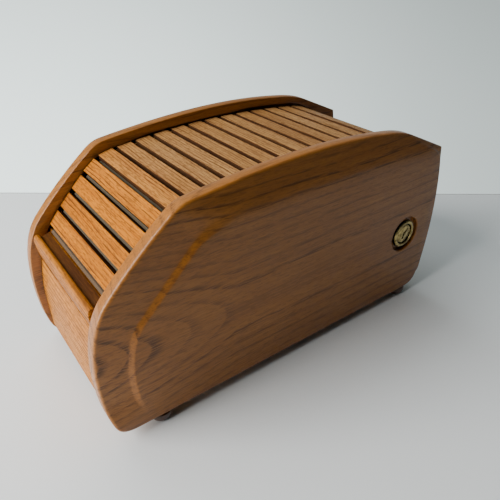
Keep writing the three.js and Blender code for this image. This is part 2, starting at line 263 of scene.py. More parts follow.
def board(name, x0, x1, y0, y1, z0, z1, edge=0.5):
    return prism(name, [(y0, z0), (y1, z0), (y1, z1), (y0, z1)], x0, x1, edge)


def round_edges(piece, width, segments=2, angle=30.0):
    bevel = piece.modifiers.new("edge", "BEVEL")
    bevel.width = width * MM
    bevel.segments = segments
    bevel.limit_method = "ANGLE"
    bevel.angle_limit = math.radians(angle)
    bevel.harden_normals = True
    bevel.use_clamp_overlap = True


def apply_modifiers(piece, smooth=35.0):
    bpy.context.view_layer.update()
    graph = bpy.context.evaluated_depsgraph_get()
    mesh = bpy.data.meshes.new_from_object(piece.evaluated_get(graph))
    piece.modifiers.clear()
    piece.data = mesh
    mesh.shade_smooth()
    mesh.set_sharp_from_angle(angle=math.radians(smooth))


def carve(piece, *tools):
    """Cuts the tools out of the piece and deletes them."""
    for tool in tools:
        modifier = piece.modifiers.new("cut", "BOOLEAN")
        modifier.operation = "DIFFERENCE"
        modifier.solver = "EXACT"
        modifier.object = tool
    apply_modifiers(piece)
    for tool in tools:
        bpy.data.objects.remove(tool)


def lathe(name, profile, centre, axis="X", segments=96, side=RIGHT):
    """A turned piece. The profile is (radius, distance along the axis) in millimetres."""
    bm = bmesh.new()
    loops = []
    for radius, along in profile:
        ring = []
        for i in range(segments if radius > 0 else 1):
            angle = 2 * math.pi * i / segments
            u, v = radius * math.cos(angle), radius * math.sin(angle)
            offset = Vector((along * side, u, v)) if axis == "X" else Vector((u, v, along))
            ring.append(bm.verts.new(centre + offset * MM))
        loops.append(ring)
    for a, b in zip(loops, loops[1:]):
        for i in range(segments):
            j = (i + 1) % segments
            face = [a[i % len(a)], a[j % len(a)], b[j % len(b)], b[i % len(b)]]
            face = list(dict.fromkeys(face))
            if len(face) > 2:
                bm.faces.new(face)
    return new_object(name, mesh_from_bm(name, bm, 40))


def set_number(piece, name, value):
    """Gives every vertex of the mesh one number, read by the materials."""
    mesh = piece.data
    attribute = mesh.attributes.get(name) or mesh.attributes.new(name, "FLOAT", "POINT")
    attribute.data.foreach_set("value", [value] * len(mesh.vertices))


def mark_painted_shade(piece, amount):
    """Marks faces for painted shade, darker and duller; amount takes a face's centre and normal, in
    millimetres.
    """
    mesh = piece.data
    attribute = mesh.attributes.get("painted_shade") or mesh.attributes.new("painted_shade", "FLOAT", "FACE")
    values = [amount((face.center - ORIGIN) / MM, face.normal) for face in mesh.polygons]
    attribute.data.foreach_set("value", values)


# ---- Materials ------------------------------------------------------------------------

class Nodes:
    """Builds a material's node tree in few words."""

    def __init__(self, name):
        self.material = bpy.data.materials.new(name)
        self.material.use_nodes = True
        self.tree = self.material.node_tree
        self.tree.nodes.clear()
        self.output = self.tree.nodes.new("ShaderNodeOutputMaterial")
        self.shader = self.tree.nodes.new("ShaderNodeBsdfPrincipled")
        self.link(self.shader.outputs[0], self.output.inputs["Surface"])

    def link(self, source, socket):
        if isinstance(source, (int, float, tuple)):
            socket.default_value = source
        else:
            self.tree.links.new(source, socket)

    def add(self, kind, inputs=None, **settings):
        node = self.tree.nodes.new(kind)
        for key, value in settings.items():
            setattr(node, key, value)
        for key, value in (inputs or {}).items():
            self.link(value, node.inputs[key])
        return node

    def math(self, operation, *values, clamp=False):
        node = self.add("ShaderNodeMath", operation=operation, use_clamp=clamp)
        for i, value in enumerate(values):
            self.link(value, node.inputs[i])
        return node.outputs[0]

    def vector(self, x, y, z):
        return self.add("ShaderNodeCombineXYZ", {0: x, 1: y, 2: z}).outputs[0]

    def noise(self, vector, scale=1.0, detail=3.0, rough=0.5):
        node = self.add("ShaderNodeTexNoise", {
            "Vector": vector, "Scale": scale, "Detail": detail, "Roughness": rough})
        return node.outputs["Fac"]

    def blend(self, factor, a, b, mode="MIX"):
        node = self.add("ShaderNodeMix", data_type="RGBA", blend_type=mode)
        self.link(factor, node.inputs[0])
        self.link(a, node.inputs[6])
        self.link(b, node.inputs[7])
        return node.outputs[2]

    def band(self, value, low, high):
        """Zero below low, one above high, smooth between."""
        node = self.add("ShaderNodeMapRange", {
            "Value": value, "From Min": low, "From Max": high}, interpolation_type="SMOOTHSTEP")
        return node.outputs[0]

    def scale(self, value, low, high):
        """A value from 0 to 1 spread over another range."""
        return self.add("ShaderNodeMapRange", {
            "Value": value, "To Min": low, "To Max": high}).outputs[0]

    def number(self, name):
        return self.add("ShaderNodeAttribute", attribute_name=name).outputs["Fac"]

    def position(self):
        """The surface point in millimetres, as three separate values."""
        coordinates = self.add("ShaderNodeTexCoord").outputs["Object"]
        scaled = self.add("ShaderNodeVectorMath", {0: coordinates, 3: 1 / MM}, operation="SCALE")
        return self.add("ShaderNodeSeparateXYZ", {0: scaled.outputs[0]}).outputs

    def bump(self, height, distance, strength=1.0):
        node = self.add("ShaderNodeBump", {
            "Height": height, "Distance": distance * MM, "Strength": strength})
        self.link(node.outputs[0], self.shader.inputs["Normal"])

    def set(self, **values):
        for key, value in values.items():
            self.link(value, self.shader.inputs[key.replace("_", " ")])


def srgb(r, g, b):
    """A colour as seen on a screen, 0 to 255, in the linear values that nodes take."""
    def linear(c):
        return c / 12.92 if c <= 0.04045 else ((c + 0.055) / 1.055) ** 2.4

    return (*(linear(c / 255) for c in (r, g, b)), 1.0)


def oak(name, light, dark, pore, grain="X", ring=5.0, tilt=0.02, stop=1000.0, centre=(30.0, -24.0),
        wander=5.0, ripple=0.8, bands=0.4, pores=0.6, flecks=0.3, contrast=1.0, run=0.03,
        specular=0.4, coat=0.0, coat_rough=0.2, rough=0.4):
    """Varnished red oak. Grain runs along X or Y; the surface cuts the growth rings into arcs.

    ring is a ring's width and centre the pith's place; the pith rises by tilt along the grain
    until stop. wander and ripple bend the rings. bands, pores and flecks are the strength of
    the early wood's colour, its rows of pores and the short dashes. run is the fibres' rate
    of change along the grain."""
    n = Nodes(name)
    x, y, z = n.position()
    tone = n.number("tone")
    along, across, deep = (x, y, z) if grain == "X" else (y, z, x)
    along = n.math("MULTIPLY_ADD", tone, 173.0, along)
    across = n.math("MULTIPLY_ADD", tone, 41.0, across)

    def at(a, b):
        return n.vector(n.math("MULTIPLY", along, a), n.math("MULTIPLY", across, b),
                        n.math("MULTIPLY", deep, b))

    drift = n.noise(at(0.008, 0.02), 1.0, 1.0)
    wave = n.noise(at(0.03, 0.12), 1.0, 2.0)
    shifted = n.math("ADD", across, n.math("MULTIPLY_ADD", drift, 2 * wander, -wander))
    shifted = n.math("ADD", shifted, n.math("MULTIPLY_ADD", wave, 2 * ripple, -ripple))
    rising = n.math("MINIMUM", along, stop)
    depth = n.math("ADD", n.math("MULTIPLY_ADD", rising, tilt, centre[1]), deep)
    side = n.math("SUBTRACT", shifted, centre[0])
    radius = n.math("SQRT", n.math("ADD", n.math("MULTIPLY", side, side),
                                   n.math("MULTIPLY", depth, depth)))
    phase = n.math("FRACT", n.math("DIVIDE", radius, ring))
    early = n.math("SUBTRACT", 1.0, n.band(phase, 0.12, 0.5))
    early = n.math("MULTIPLY", early, n.band(phase, 0.0, 0.08))
    strong = n.noise(n.vector(n.math("MULTIPLY", radius, 0.55 / ring), 0.5, 0.5), 1.0, 0.0)
    early = n.math("MULTIPLY", early, n.scale(n.band(strong, 0.35, 0.62), 0.5, 1.0))

    fibre = n.noise(at(run, 1.1), 1.0, 4.0, 0.75)
    streak = n.noise(at(0.008, 0.35), 1.0, 3.0, 0.6)
    rows = n.band(n.noise(at(0.06, 1.2), 1.0, 2.0), 0.44, 0.56)
    short = n.band(n.noise(at(0.22, 1.3), 1.0, 1.0), 0.5, 0.64)
    mark = n.math("MULTIPLY", rows, n.math("MULTIPLY_ADD", early, 0.85 * pores, 0.15 * pores))
    mark = n.math("MAXIMUM", mark, n.math("MULTIPLY", short, flecks))
    body = n.math("MULTIPLY_ADD", early, bands * contrast,
                  n.math("MULTIPLY_ADD", streak, 0.9 * contrast, 0.3 - 0.45 * contrast))
    body = n.math("ADD", body, n.math("MULTIPLY_ADD", fibre, contrast, -0.5 * contrast),
                  clamp=True)
    colour = n.blend(body, light, dark)

    def tint(amounts):
        """Multiplies the colour by a red, green and blue factor."""
        return n.blend(1.0, colour, n.add("ShaderNodeCombineColor", {
            0: amounts[0], 1: amounts[1], 2: amounts[2]}).outputs[0], "MULTIPLY")

    patch = n.noise(at(0.02, 0.03), 1.0, 2.0)
    colour = tint((n.scale(patch, 0.88, 1.12), n.scale(patch, 0.84, 1.16),
                   n.scale(patch, 0.75, 1.25)))
    board = n.math("FRACT", n.math("MULTIPLY", tone, 7.31))
    colour = tint((n.scale(board, 0.9, 1.1), n.scale(board, 0.86, 1.12),
                   n.scale(board, 0.8, 1.15)))
    # Painted light: slats on the top and back are tinted paler and greyer, for the weaker light and
    # grey sheen that fall on them.
    painted_crown_tint = n.number("painted_crown_tint")
    colour = tint((n.scale(painted_crown_tint, 1.0, 0.95), n.scale(painted_crown_tint, 1.0, 1.5), n.scale(painted_crown_tint, 1.0, 11.0)))
    colour = n.blend(mark, colour, pore)
    # Rim wear and painted highlight: marked rim rings are lightened in patches towards the light
    # colour; the same noise varies the painted shade.
    patchiness = n.noise(n.vector(n.math("MULTIPLY", x, 0.3), n.math("MULTIPLY", y, 0.3),
                              n.math("MULTIPLY", z, 0.3)), 1.0, 3.0)
    colour = n.blend(n.math("MULTIPLY", n.number("rim"), n.scale(patchiness, 0.0, 0.3)),
                     colour, light)
    # Painted shade: marked faces are blended towards a dark brown and made duller, standing in for
    # shade in gaps and hollows.
    painted_shade = n.number("painted_shade")
    colour = n.blend(n.math("MULTIPLY", painted_shade, n.scale(patchiness, 0.85, 1.0)), colour,
                     srgb(54, 30, 16))
    smear = n.noise(n.vector(n.math("MULTIPLY", x, 0.05), n.math("MULTIPLY", y, 0.04),
                             n.math("MULTIPLY", z, 0.07)), 1.0, 4.0, 0.6)
    roughness = n.math("ADD", n.scale(smear, rough - 0.08, rough + 0.1),
                       n.math("MULTIPLY", mark, 0.25))
    roughness = n.math("MAXIMUM", roughness, n.math("MULTIPLY", painted_shade, 0.85))
    height = n.math("ADD", n.math("MULTIPLY", mark, -1.0), n.math("MULTIPLY", fibre, 0.25))
    n.bump(height, 0.10)
    n.set(Base_Color=colour, Roughness=roughness, Coat_Weight=coat, Coat_Roughness=coat_rough,
          Specular_IOR_Level=specular)
    return n.material


def plain_wood(name, light, dark):
    """Unvarnished inner boards, pale and dry, with faint straight grain along Y."""
    n = Nodes(name)
    x, y, z = n.position()
    stretched = n.vector(n.math("MULTIPLY", x, 0.6), n.math("MULTIPLY", y, 0.02),
                         n.math("MULTIPLY", z, 0.6))
    fibre = n.noise(stretched, 1.0, 5.0, 0.65)
    patch = n.noise(n.vector(x, y, z), 0.02, 3.0)
    body = n.math("ADD", n.math("MULTIPLY", fibre, 0.7), n.math("MULTIPLY", patch, 0.4),
                  clamp=True)
    n.bump(fibre, 0.08)
    n.set(Base_Color=n.blend(body, light, dark), Roughness=n.scale(fibre, 0.62, 0.82))
    return n.material


def canvas_cloth(name, light, dark):
    """Plain-weave canvas with glue stain and dust."""
    n = Nodes(name)
    x, y, z = n.position()
    run = n.math("ADD", y, z)
    warp = n.math("SINE", n.math("MULTIPLY", x, 2 * math.pi / 0.9))
    weft = n.math("SINE", n.math("MULTIPLY", run, 2 * math.pi / 0.9))
    weave = n.math("MULTIPLY_ADD", n.math("MULTIPLY", warp, weft), 0.5, 0.5)
    slub = n.noise(n.vector(n.math("MULTIPLY", x, 0.9), n.math("MULTIPLY", run, 0.12), z),
                   1.0, 3.0, 0.6)
    stain = n.noise(n.vector(x, y, z), 0.06, 4.0, 0.6)
    body = n.math("ADD", n.math("MULTIPLY", slub, 0.7), n.math("MULTIPLY", stain, 0.45),
                  clamp=True)
    colour = n.blend(body, light, dark)
    colour = n.blend(n.math("MULTIPLY", weave, 0.35), colour, dark)
    colour = n.blend(n.math("MULTIPLY", n.number("tone"), 0.6), colour, srgb(92, 70, 48))
    n.bump(n.math("ADD", weave, slub), 0.12)
    n.set(Base_Color=colour, Roughness=n.scale(stain, 0.82, 0.95))
    return n.material


def metal(name, light, dark, rough, scratch=0.5):
    """Polished or turned metal, with tarnish in patches, fine scratches and painted shade, near
    black, on faces marked as recesses.
    """
    n = Nodes(name)
    x, y, z = n.position()
    point = n.vector(x, y, z)
    tarnish = n.noise(point, 0.35, 4.0, 0.65)
    fine = n.noise(n.vector(n.math("MULTIPLY", x, 9.0), n.math("MULTIPLY", y, 1.2),
                            n.math("MULTIPLY", z, 1.2)), 1.0, 3.0)
    n.bump(fine, 0.02, scratch)
    colour = n.blend(n.band(tarnish, 0.35, 0.7), light, dark)
    # Painted shade: marked faces go near black.
    n.set(Base_Color=n.blend(n.number("painted_shade"), colour, srgb(22, 17, 11)), Metallic=1.0,
          Roughness=n.math("ADD", n.scale(tarnish, rough - 0.06, rough + 0.14),
                           n.math("MULTIPLY", fine, 0.08)))
    return n.material


def dark_wood(name, light, dark):
    """The turned feet: dark stained wood under worn varnish."""
    n = Nodes(name)
    x, y, z = n.position()
    fibre = n.noise(n.vector(x, y, n.math("MULTIPLY", z, 0.2)), 1.1, 4.0, 0.6)
    scuff = n.noise(n.vector(x, y, z), 0.5, 5.0, 0.7)
    n.bump(n.math("ADD", fibre, scuff), 0.06)
    n.set(Base_Color=n.blend(fibre, light, dark), Roughness=n.scale(scuff, 0.3, 0.55),
          Coat_Weight=0.3, Coat_Roughness=0.3)
    return n.material


OAK_PORE = srgb(70, 36, 14)

MATERIALS = {
    "oak_panel": oak("oak_panel", srgb(168, 109, 45), srgb(126, 77, 28), srgb(62, 38, 16),
                     grain="Y", ring=4.8, tilt=0.2, stop=-50.0, centre=(62.0, -12.0),
                     bands=0.3, pores=0.68, flecks=0.28, contrast=1.2, specular=0.22,
                     coat=0.3, coat_rough=0.12),
    "oak_back": oak("oak_back", srgb(186, 122, 52), srgb(150, 92, 34), OAK_PORE, ring=6.0,
                    specular=0.2),
    "oak_slat": oak("oak_slat", srgb(190, 116, 22), srgb(140, 74, 10), srgb(84, 44, 12),
                    ring=2.0, centre=(-400.0, 0.0), wander=4.0, bands=0.35, pores=1.0,
                    flecks=0.5, contrast=1.4, run=0.07, specular=0.1),
    "oak_front": oak("oak_front", srgb(194, 124, 38), srgb(122, 66, 16), srgb(70, 36, 12),
                     ring=3.4, centre=(-125.0, -150.0), wander=4.0, ripple=1.4, bands=0.45,
                     pores=1.0, flecks=0.5, contrast=1.4, run=0.04, specular=0.1),
    "inner_wood": plain_wood("inner_wood", srgb(206, 174, 128), srgb(168, 130, 86)),
    "canvas": canvas_cloth("canvas", srgb(98, 88, 66), srgb(64, 56, 41)),
    "lock_brass": metal("lock_brass", srgb(174, 154, 100), srgb(108, 92, 54), 0.2),
    "steel_parts": metal("steel_parts", srgb(190, 188, 182), srgb(126, 122, 116), 0.3),
    "dark_foot": dark_wood("dark_foot", srgb(84, 54, 34), srgb(40, 24, 16)),
}


def fit_out(piece, body, slot, *nodes, tone=0.0, painted_crown_tint=0.0):
    """Gives a piece its material and its body, and hides the CAD nodes that it stands for."""
    piece.data.materials.clear()
    piece.data.materials.append(MATERIALS[slot])
    set_number(piece, "tone", tone)
    set_number(piece, "painted_crown_tint", painted_crown_tint)
    if "rim" not in piece.data.attributes:
        set_number(piece, "rim", 0.0)
    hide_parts(*nodes)
    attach(piece, body)


# ---- Side panels ----------------------------------------------------------------------

# Each outline is in sections that match one to one: lower edge, lower rear corner, rear
# edge, upper rear corner, top, front shoulder, slope, nose and lower front.
PANEL_SECTIONS = [
    (46, trace((17, 0), [(250, 0)])),
    (14, trace((250, 0), [(264, 0), (266.2, 18)])),
    (34, trace((266.2, 18), [(269.9, 40), (273.6, 75), (265.8, 114.6)], fine=30)),
    (20, trace((265.8, 114.6), [(232, 129.3)])),
    (84, trace((232, 129.3), [(224, 132.6), (212, 134.2)],
               [(165, 140.3), (118, 138.5), (62, 130.3)], fine=30)),
    (16, trace((62, 130.3), [(55.5, 129.4), (49.5, 124)])),
    (36, trace((49.5, 124), [(29, 107.5), (12.7, 89.1)], fine=24)),
    (30, trace((12.7, 89.1), [(3.5, 79), (0, 62), (0, 42)], fine=24)),
    (30, trace((0, 42), [(0, 26), (2, 12), (5, 5.5)], [(7.6, 0), (17, 0)], fine=20)),
]
FIELD_SECTIONS = [
    trace((30, 3), [(246, 3)]),
    trace((246, 3), [(254, 3), (256.6, 18)]),
    trace((256.6, 18), [(260, 40), (262.5, 70), (256, 101)], fine=30),
    trace((256, 101), [(254.5, 106.5), (246, 108.6)]),
    trace((246, 108.6), [(190, 114.5), (130, 111), (76, 108.8)], fine=30),
    trace((76, 108.8), [(67, 108.4), (60, 101.5)]),
    trace((60, 101.5), [(30, 71)]),
    trace((30, 71), [(20.6, 62), (20.4, 40)], fine=20),
    trace((20.4, 40), [(20.2, 28), (21, 14), (30, 3)], fine=20),
]

# Walls of the groove as heights from the track: distance along it, inner wall, outer wall.
GROOVE_WALLS = [
    (-8, -6.6, -2.2), (12, -6.8, -0.4), (30, -8.4, -0.4), (45, -10.7, -1.2), (75, -10.7, -0.4),
    (95, -8, 0.8), (135, -8.9, 0.8), (165, -8.9, 0.8), (180, -8, 2.1), (222, -10.4, 2.1),
    (240, -10.4, 1.1), (285, -9.6, 1.1), (300, -7.8, 1.3), (330, -8.9, 1.1), (385, -9, 0.8),
    (440, -10, 0.4),
]


def groove_wall(column):
    """One wall of the groove, as a function of the distance along the track."""
    def height(s):
        for a, b in zip(GROOVE_WALLS, GROOVE_WALLS[1:]):
            if s <= b[0]:
                break
        t = (s - a[0]) / (b[0] - a[0])
        return a[column] + (b[column] - a[column]) * t
    return height


def side_panel(name, side):
    """A panel lofted in rings: inner face, edge, round rim, sunk border, cove, raised field."""
    outline, field = [], []
    for (count, section), inner_section in zip(PANEL_SECTIONS, FIELD_SECTIONS):
        outline += resample(section, count)
        field += resample(inner_section, count)
    amount = [smoothstep(*FADE, z) for y, z in outline]
    crisp = [1 - smoothstep(*CRISP_UNTIL, y) for y, z in field]
    width, drop = ([soft + (hard - soft) * c for c in crisp]
                   for hard, soft in zip(COVE_CRISP, COVE_SOFT))
    cove = inset(field, [-w * smoothstep(3, 16, z) for w, (y, z) in zip(width, field)])
    rim = inset(outline, RIM_RADIUS)

    front_drop, rear_drop = RIM_DROP
    ease = [smoothstep(*REAR_EASE, y) for y, z in outline]
    low = [(front_drop + (rear_drop - front_drop) * e) * a for e, a in zip(ease, amount)]
    step = [d * (1 - 0.5 * e) * a for d, e, a in zip(drop, ease, amount)]

    rings, rim_marks = [], []

    def add(points, depth, wear_and_highlight):
        """One ring; depth is how far each point lies below the raised field; the last value
        lightens the rim's wood, for wear and a painted highlight.
        """
        rings.append([row(side * (OUTER - d), y, z) for (y, z), d in zip(points, depth)])
        rim_marks.extend([wear_and_highlight] * len(points))

    thickness = OUTER - INNER
    add(inset(outline, 0.9), [thickness] * len(outline), 0.2)
    add(inset(outline, 0.3), [thickness - 0.3] * len(outline), 0.6)
    add(outline, [thickness - 1.0] * len(outline), 0.6)
    add(outline, [d + RIM_RADIUS + 1.5 for d in low], 0.5)
    for i in range(7):
        angle = math.radians(15 * i)
        add(inset(outline, RIM_RADIUS * (1 - math.cos(angle))),
            [d + RIM_RADIUS * (1 - math.sin(angle)) for d in low],
            math.cos(angle) ** 0.5 if i < 6 else 0.0)
    steps = 6
    for i in range(1, steps + 1):
        t = i / steps
        add([(r[0] + (c[0] - r[0]) * t, r[1] + (c[1] - r[1]) * t) for r, c in zip(rim, cove)],
            [r + (c - r) * t for r, c in zip(low, step)], 0.0)
    steps = 8
    for i in range(1, steps + 1):
        t = i / steps
        hard, soft = 1 - smoothstep(0, 1, t), (1 - t) ** 2
        add([(c[0] + (f[0] - c[0]) * t, c[1] + (f[1] - c[1]) * t) for c, f in zip(cove, field)],
            [d * (soft + (hard - soft) * k) for d, k in zip(step, crisp)], 0.0)

    mesh = mesh_from_bm(name, rings_to_bm(rings), 38)
    piece = new_object(name, mesh)
    mesh.attributes.new("rim", "FLOAT", "POINT").data.foreach_set("value", rim_marks)
    groove = prism("groove", track_band(-5, length_of(TRACK), 120, groove_wall(1), groove_wall(2)),
                   side * (INNER - 1), side * (INNER + GROOVE_DEPTH))
    tools = [groove]
    if side == RIGHT:
        centre = lock_axis()
        shelf = OUTER - LOCK_SINK_DEPTH
        tools.append(lathe("lock_hole", [
            (0, INNER - 1), (LOCK_BORE, INNER - 1), (LOCK_BORE, shelf),
            (LOCK_SINK_RADIUS - 0.3, shelf), (LOCK_SINK_RADIUS, shelf + 0.3),
            (LOCK_SINK_RADIUS, OUTER - 0.5), (LOCK_SINK_RADIUS + 0.9, OUTER + 0.3),
            (LOCK_SINK_RADIUS + 0.9, OUTER + 2), (0, OUTER + 2)], centre, segments=120))
    carve(piece, *tools)
    return piece


def lock_axis():
    """The point where the lock's axis meets the middle of the box, in metres."""
    low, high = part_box("lock_housing")
    return Vector((0, (low.y + high.y) / 2, (low.z + high.z) / 2))


def build_panels():
    right = side_panel("panel_right", RIGHT)
    fit_out(right, "case", "oak_panel", "right_side_panel", tone=0.0)
    left = side_panel("panel_left", LEFT)
    fit_out(left, "case", "oak_panel", "left_side_panel", tone=0.287)


# ---- Boards between the panels --------------------------------------------------------

def build_boards():
    front = prism("board_front", trace(
        (9.5, 3), [(14, 3)], [(14, 61.4)], [(8.4, 61.4)],
        [(5, 47), (5, 34)], [(5.2, 10)], [(5.6, 3), (9.5, 3)]),
        -BOARD_HALF, BOARD_HALF, 0.15)
    fit_out(front, "case", "oak_front", "front_board", tone=0.11)

    bend, clear = 48, 51.9                # radius of the rear bend, and of the way kept clear
    under = [(REAR_FOOT[0] - bend + clear * math.cos(a), REAR_FOOT[1] + clear * math.sin(a))
             for a in (0.68, 0.62, 0.56, 0.50, 0.44, 0.38, 0.32)]
    top_rail = prism("rail_rear_top", under + [
        (263.6, 95), (265.8, 95), (265.6, 104.6), (253.6, 111.6), (252.2, 111.9)],
        -BOARD_HALF, BOARD_HALF, 0.3)
    fit_out(top_rail, "case", "oak_back", "rear_top_rail", tone=0.23)

    low_rail = prism("rail_rear_bottom", [
        (250, 7.9), (260.4, 7.9), (264, 14), (265.6, 19.7), (250, 19.7)],
        -BOARD_HALF, BOARD_HALF, 0.4)
    fit_out(low_rail, "case", "oak_back", "rear_bottom_rail", tone=0.57)

    for name, node, slot, tone in (
            ("board_back", "back_board", "oak_back", 0.71),
            ("board_bottom", "bottom_board", "inner_wood", 0.1),
            ("board_cavity_floor", "cavity_floor", "inner_wood", 0.2),
            ("board_inner_back", "inner_back", "inner_wood", 0.3),
            ("cleat_right", "floor_cleat_right", "inner_wood", 0.4),
            ("cleat_left", "floor_cleat_left", "inner_wood", 0.5)):
        low, high = box_mm(node)
        piece = board(name, low.x, high.x, low.y, high.y, low.z, high.z, 0.45)
        fit_out(piece, "case", slot, node, tone=tone)

    for side, end in ((RIGHT, "right"), (LEFT, "left")):
        low, high = box_mm(f"glue_block_{end}")
        corner = high.x if side == RIGHT else low.x
        far = low.x if side == RIGHT else high.x
        rings = [[row(corner, low.y, z), row(far, low.y, z), row(corner, high.y, z)]
                 for z in (low.z, high.z)]
        piece = new_object(f"block_{end}", mesh_from_bm("block", rings_to_bm(rings)))
        round_edges(piece, 0.4)
        fit_out(piece, "case", "inner_wood", f"glue_block_{end}", tone=0.6)


# ---- Curtain --------------------------------------------------------------------------

def curtain_matrix(distance):
    """Places a piece made about the track's origin: X across, Y along it, Z out from it."""
    y, z, heading = walk(TRACK, distance)
    return Matrix.Translation(row(0, y, z)) @ Matrix.Rotation(heading, 4, "X")


def slat_mesh(name):
    """A slat with a thinner tongue at each end, about the track's origin."""
    shoulder, end = INNER - 1.0, INNER + 5.75
    tongue = -SLAT_THICK + 3.0
    shape = [(-end, -SLAT_THICK), (end, -SLAT_THICK), (end, tongue), (shoulder, tongue),
             (shoulder, 0), (-shoulder, 0), (-shoulder, tongue), (-end, tongue)]
    half = SLAT_WIDTH / 2
    rings = [[Vector((x, y, z)) * MM for x, z in shape] for y in (half, -half)]
    return mesh_from_bm(name, rings_to_bm(rings))


def canvas_mesh(name, start, end, middle):
    """A strip of the backing along the track from start to end, about the track's origin. On
    the slope it is slack and bulges outwards in the gaps beside its slat. Gives the mesh and
    the strip's flat length in millimetres."""
    top = -SLAT_THICK - GAP / 3
    inverse = curtain_matrix(middle).inverted()
    steps = 36
    along = [start + (end - start) * i / steps for i in range(steps + 1)]
    edge = SLAT_WIDTH / 2
    slack = CANVAS_BULGE * (1 - smoothstep(SLACK_UNTIL - 20, SLACK_UNTIL, middle))
    height = [top + slack * smoothstep(edge + 0.05, edge + 0.9, abs(s - middle)) for s in along]
    lower = [track_point(s, h - CANVAS_THICK) for s, h in zip(along, height)]
    upper = [track_point(s, h) for s, h in zip(along, height)]
    flat = sum(math.dist(a, b) for a, b in zip(upper, upper[1:]))
    outline = lower + upper[::-1]
    columns = 24
    rings = [[inverse @ row(-CANVAS_HALF + 2 * CANVAS_HALF * i / columns, y, z)
              for y, z in outline] for i in range(columns + 1)]
    return mesh_from_bm(name, rings_to_bm(rings), 50), flat


def build_curtain():
    rng = random.Random(7)
    for i in range(SLAT_COUNT):
        number = f"{i + 1:02d}"
        distance = FIRST_SLAT + i * SLAT_PITCH
        place = curtain_matrix(distance)
        tone = rng.random()
        slat = new_object(f"slat_bar_{number}", slat_mesh("slat"))
        slat.data.transform(place)
        outward = place.to_3x3() @ Vector((0, 0, 1))
        # Painted shade on the slat's sides, ends and underside, which lie in the dark gaps and the
        # groove.
        mark_painted_shade(slat, lambda at, normal: 0.0 if normal.dot(outward) > 0.7 else 1.0)
        round_edges(slat, 0.3, 2)
        # Painted light: from about the fourth slat on, the tint for the top's light and sheen.
        fit_out(slat, f"slat_{number}", "oak_slat", f"slat_{number}", tone=tone,
                painted_crown_tint=smoothstep(3.5, 7.0, i + 1))
        reach = NARROW_REACH if PINCHED[0] < distance < PINCHED[1] else CANVAS_REACH
        front = reach if i < SLAT_COUNT - 2 else TAIL_REACH
        rear = reach if i < SLAT_COUNT - 1 else TAIL_REACH
        mesh, length = canvas_mesh("canvas", distance - front, distance + rear, distance)
        cloth = new_object(f"canvas_strip_{number}", mesh)
        cloth.data.transform(place)
        fit_out(cloth, f"slat_{number}", "canvas", "canvas_backing", tone=0.3 * tone)


def build_lift_rail():
    rail_line = trace(
        (15.4, 61.9), [(8.6, 61.9)], [(6.2, 70), (5.9, 76.5)],
        [(5.9, 80.9), (8.2, 81)], [(9.9, 81), (10.2, 79.4)], [(10.4, 78.7), (11.2, 78.8)],
        [(16.2, 80.4)], fine=8) + [
            track_point(2.6, -2.4), track_point(2.8, -3), track_point(4.2, -3),
            track_point(4.2, -SLAT_THICK), track_point(-4, -SLAT_THICK - 1)]
    rail = prism("rail_lift", rail_line, -RAIL_HALF, RAIL_HALF, 0.3, 2)
    tongue = prism("tongue", track_band(-3, 4.2, 2, -SLAT_THICK, -SLAT_THICK + 3.0),
                   -INNER - 5.75, INNER + 5.75)
    union = rail.modifiers.new("join", "BOOLEAN")
    union.operation, union.solver, union.object = "UNION", "EXACT", tongue
    apply_modifiers(rail)
    bpy.data.objects.remove(tongue)
    # Painted shade in the trough behind the lip, darker and duller.
    mark_painted_shade(rail, lambda at, normal: 0.86 if 9.8 < at.y < 15.8 and at.z > 77 else 0.0)
    fit_out(rail, "lift_rail", "oak_front", "lift_rail", tone=0.411)
    leaf = [(3.1, -2.4), (4.8, -2.5), (5.5, -3.2), (6.0, -5.4), (6.5, -6.1)]
    cloth = prism("canvas_strip_lead",
                  [track_point(s, h - CANVAS_THICK) for s, h in leaf]
                  + [track_point(s, h) for s, h in reversed(leaf)], -CANVAS_HALF, CANVAS_HALF)
    fit_out(cloth, "lift_rail", "canvas", "canvas_backing", tone=1.3)


def build_strike():
    tail = FIRST_SLAT + (SLAT_COUNT - 1) * SLAT_PITCH
    outer = -SLAT_THICK - CANVAS_THICK - 2 * GAP
    strike = prism("strike_block", track_band(tail - 4, tail + 2.3, 1, outer - 3.5, outer),
                   26, 36.4, 0.5)
    fit_out(strike, f"slat_{SLAT_COUNT}", "oak_front", "tail_strike", tone=0.8)


# ---- Lock -----------------------------------------------------------------------------

def build_housing(axis):
    face = OUTER - 0.2
    angles = [math.radians(a) for a in range(0, 91, 10)]
    ring = [(LOCK_HEAD_RADIUS - 2.0 * (1 - math.cos(a)), face - 1.8 + 1.8 * math.sin(a))
            for a in angles]
    lip = [(8.6 - 0.6 * math.sin(math.radians(a)), face - 0.6 * (1 - math.cos(math.radians(a))))
           for a in range(0, 91, 18)]
    housing = lathe("lock_ring", [
        (5.75, LOCK_INNER_END), (7.2, LOCK_INNER_END), (7.75, LOCK_INNER_END + 0.5),
        (7.75, LOCK_SEAT), (LOCK_HEAD_RADIUS, LOCK_SEAT), *ring, *lip, (8.0, LOCK_SEAT + 1),
        (5.75, LOCK_SEAT + 1), (5.75, LOCK_INNER_END)], axis)
    # Painted shade on the ring's flank, down in the sunk hole.
    mark_painted_shade(housing, lambda at, normal: 1.0 if LOCK_SEAT + 0.9 < at.x < face - 0.65 else 0.0)
    fit_out(housing, "case", "lock_brass", "lock_housing", tone=0.1)


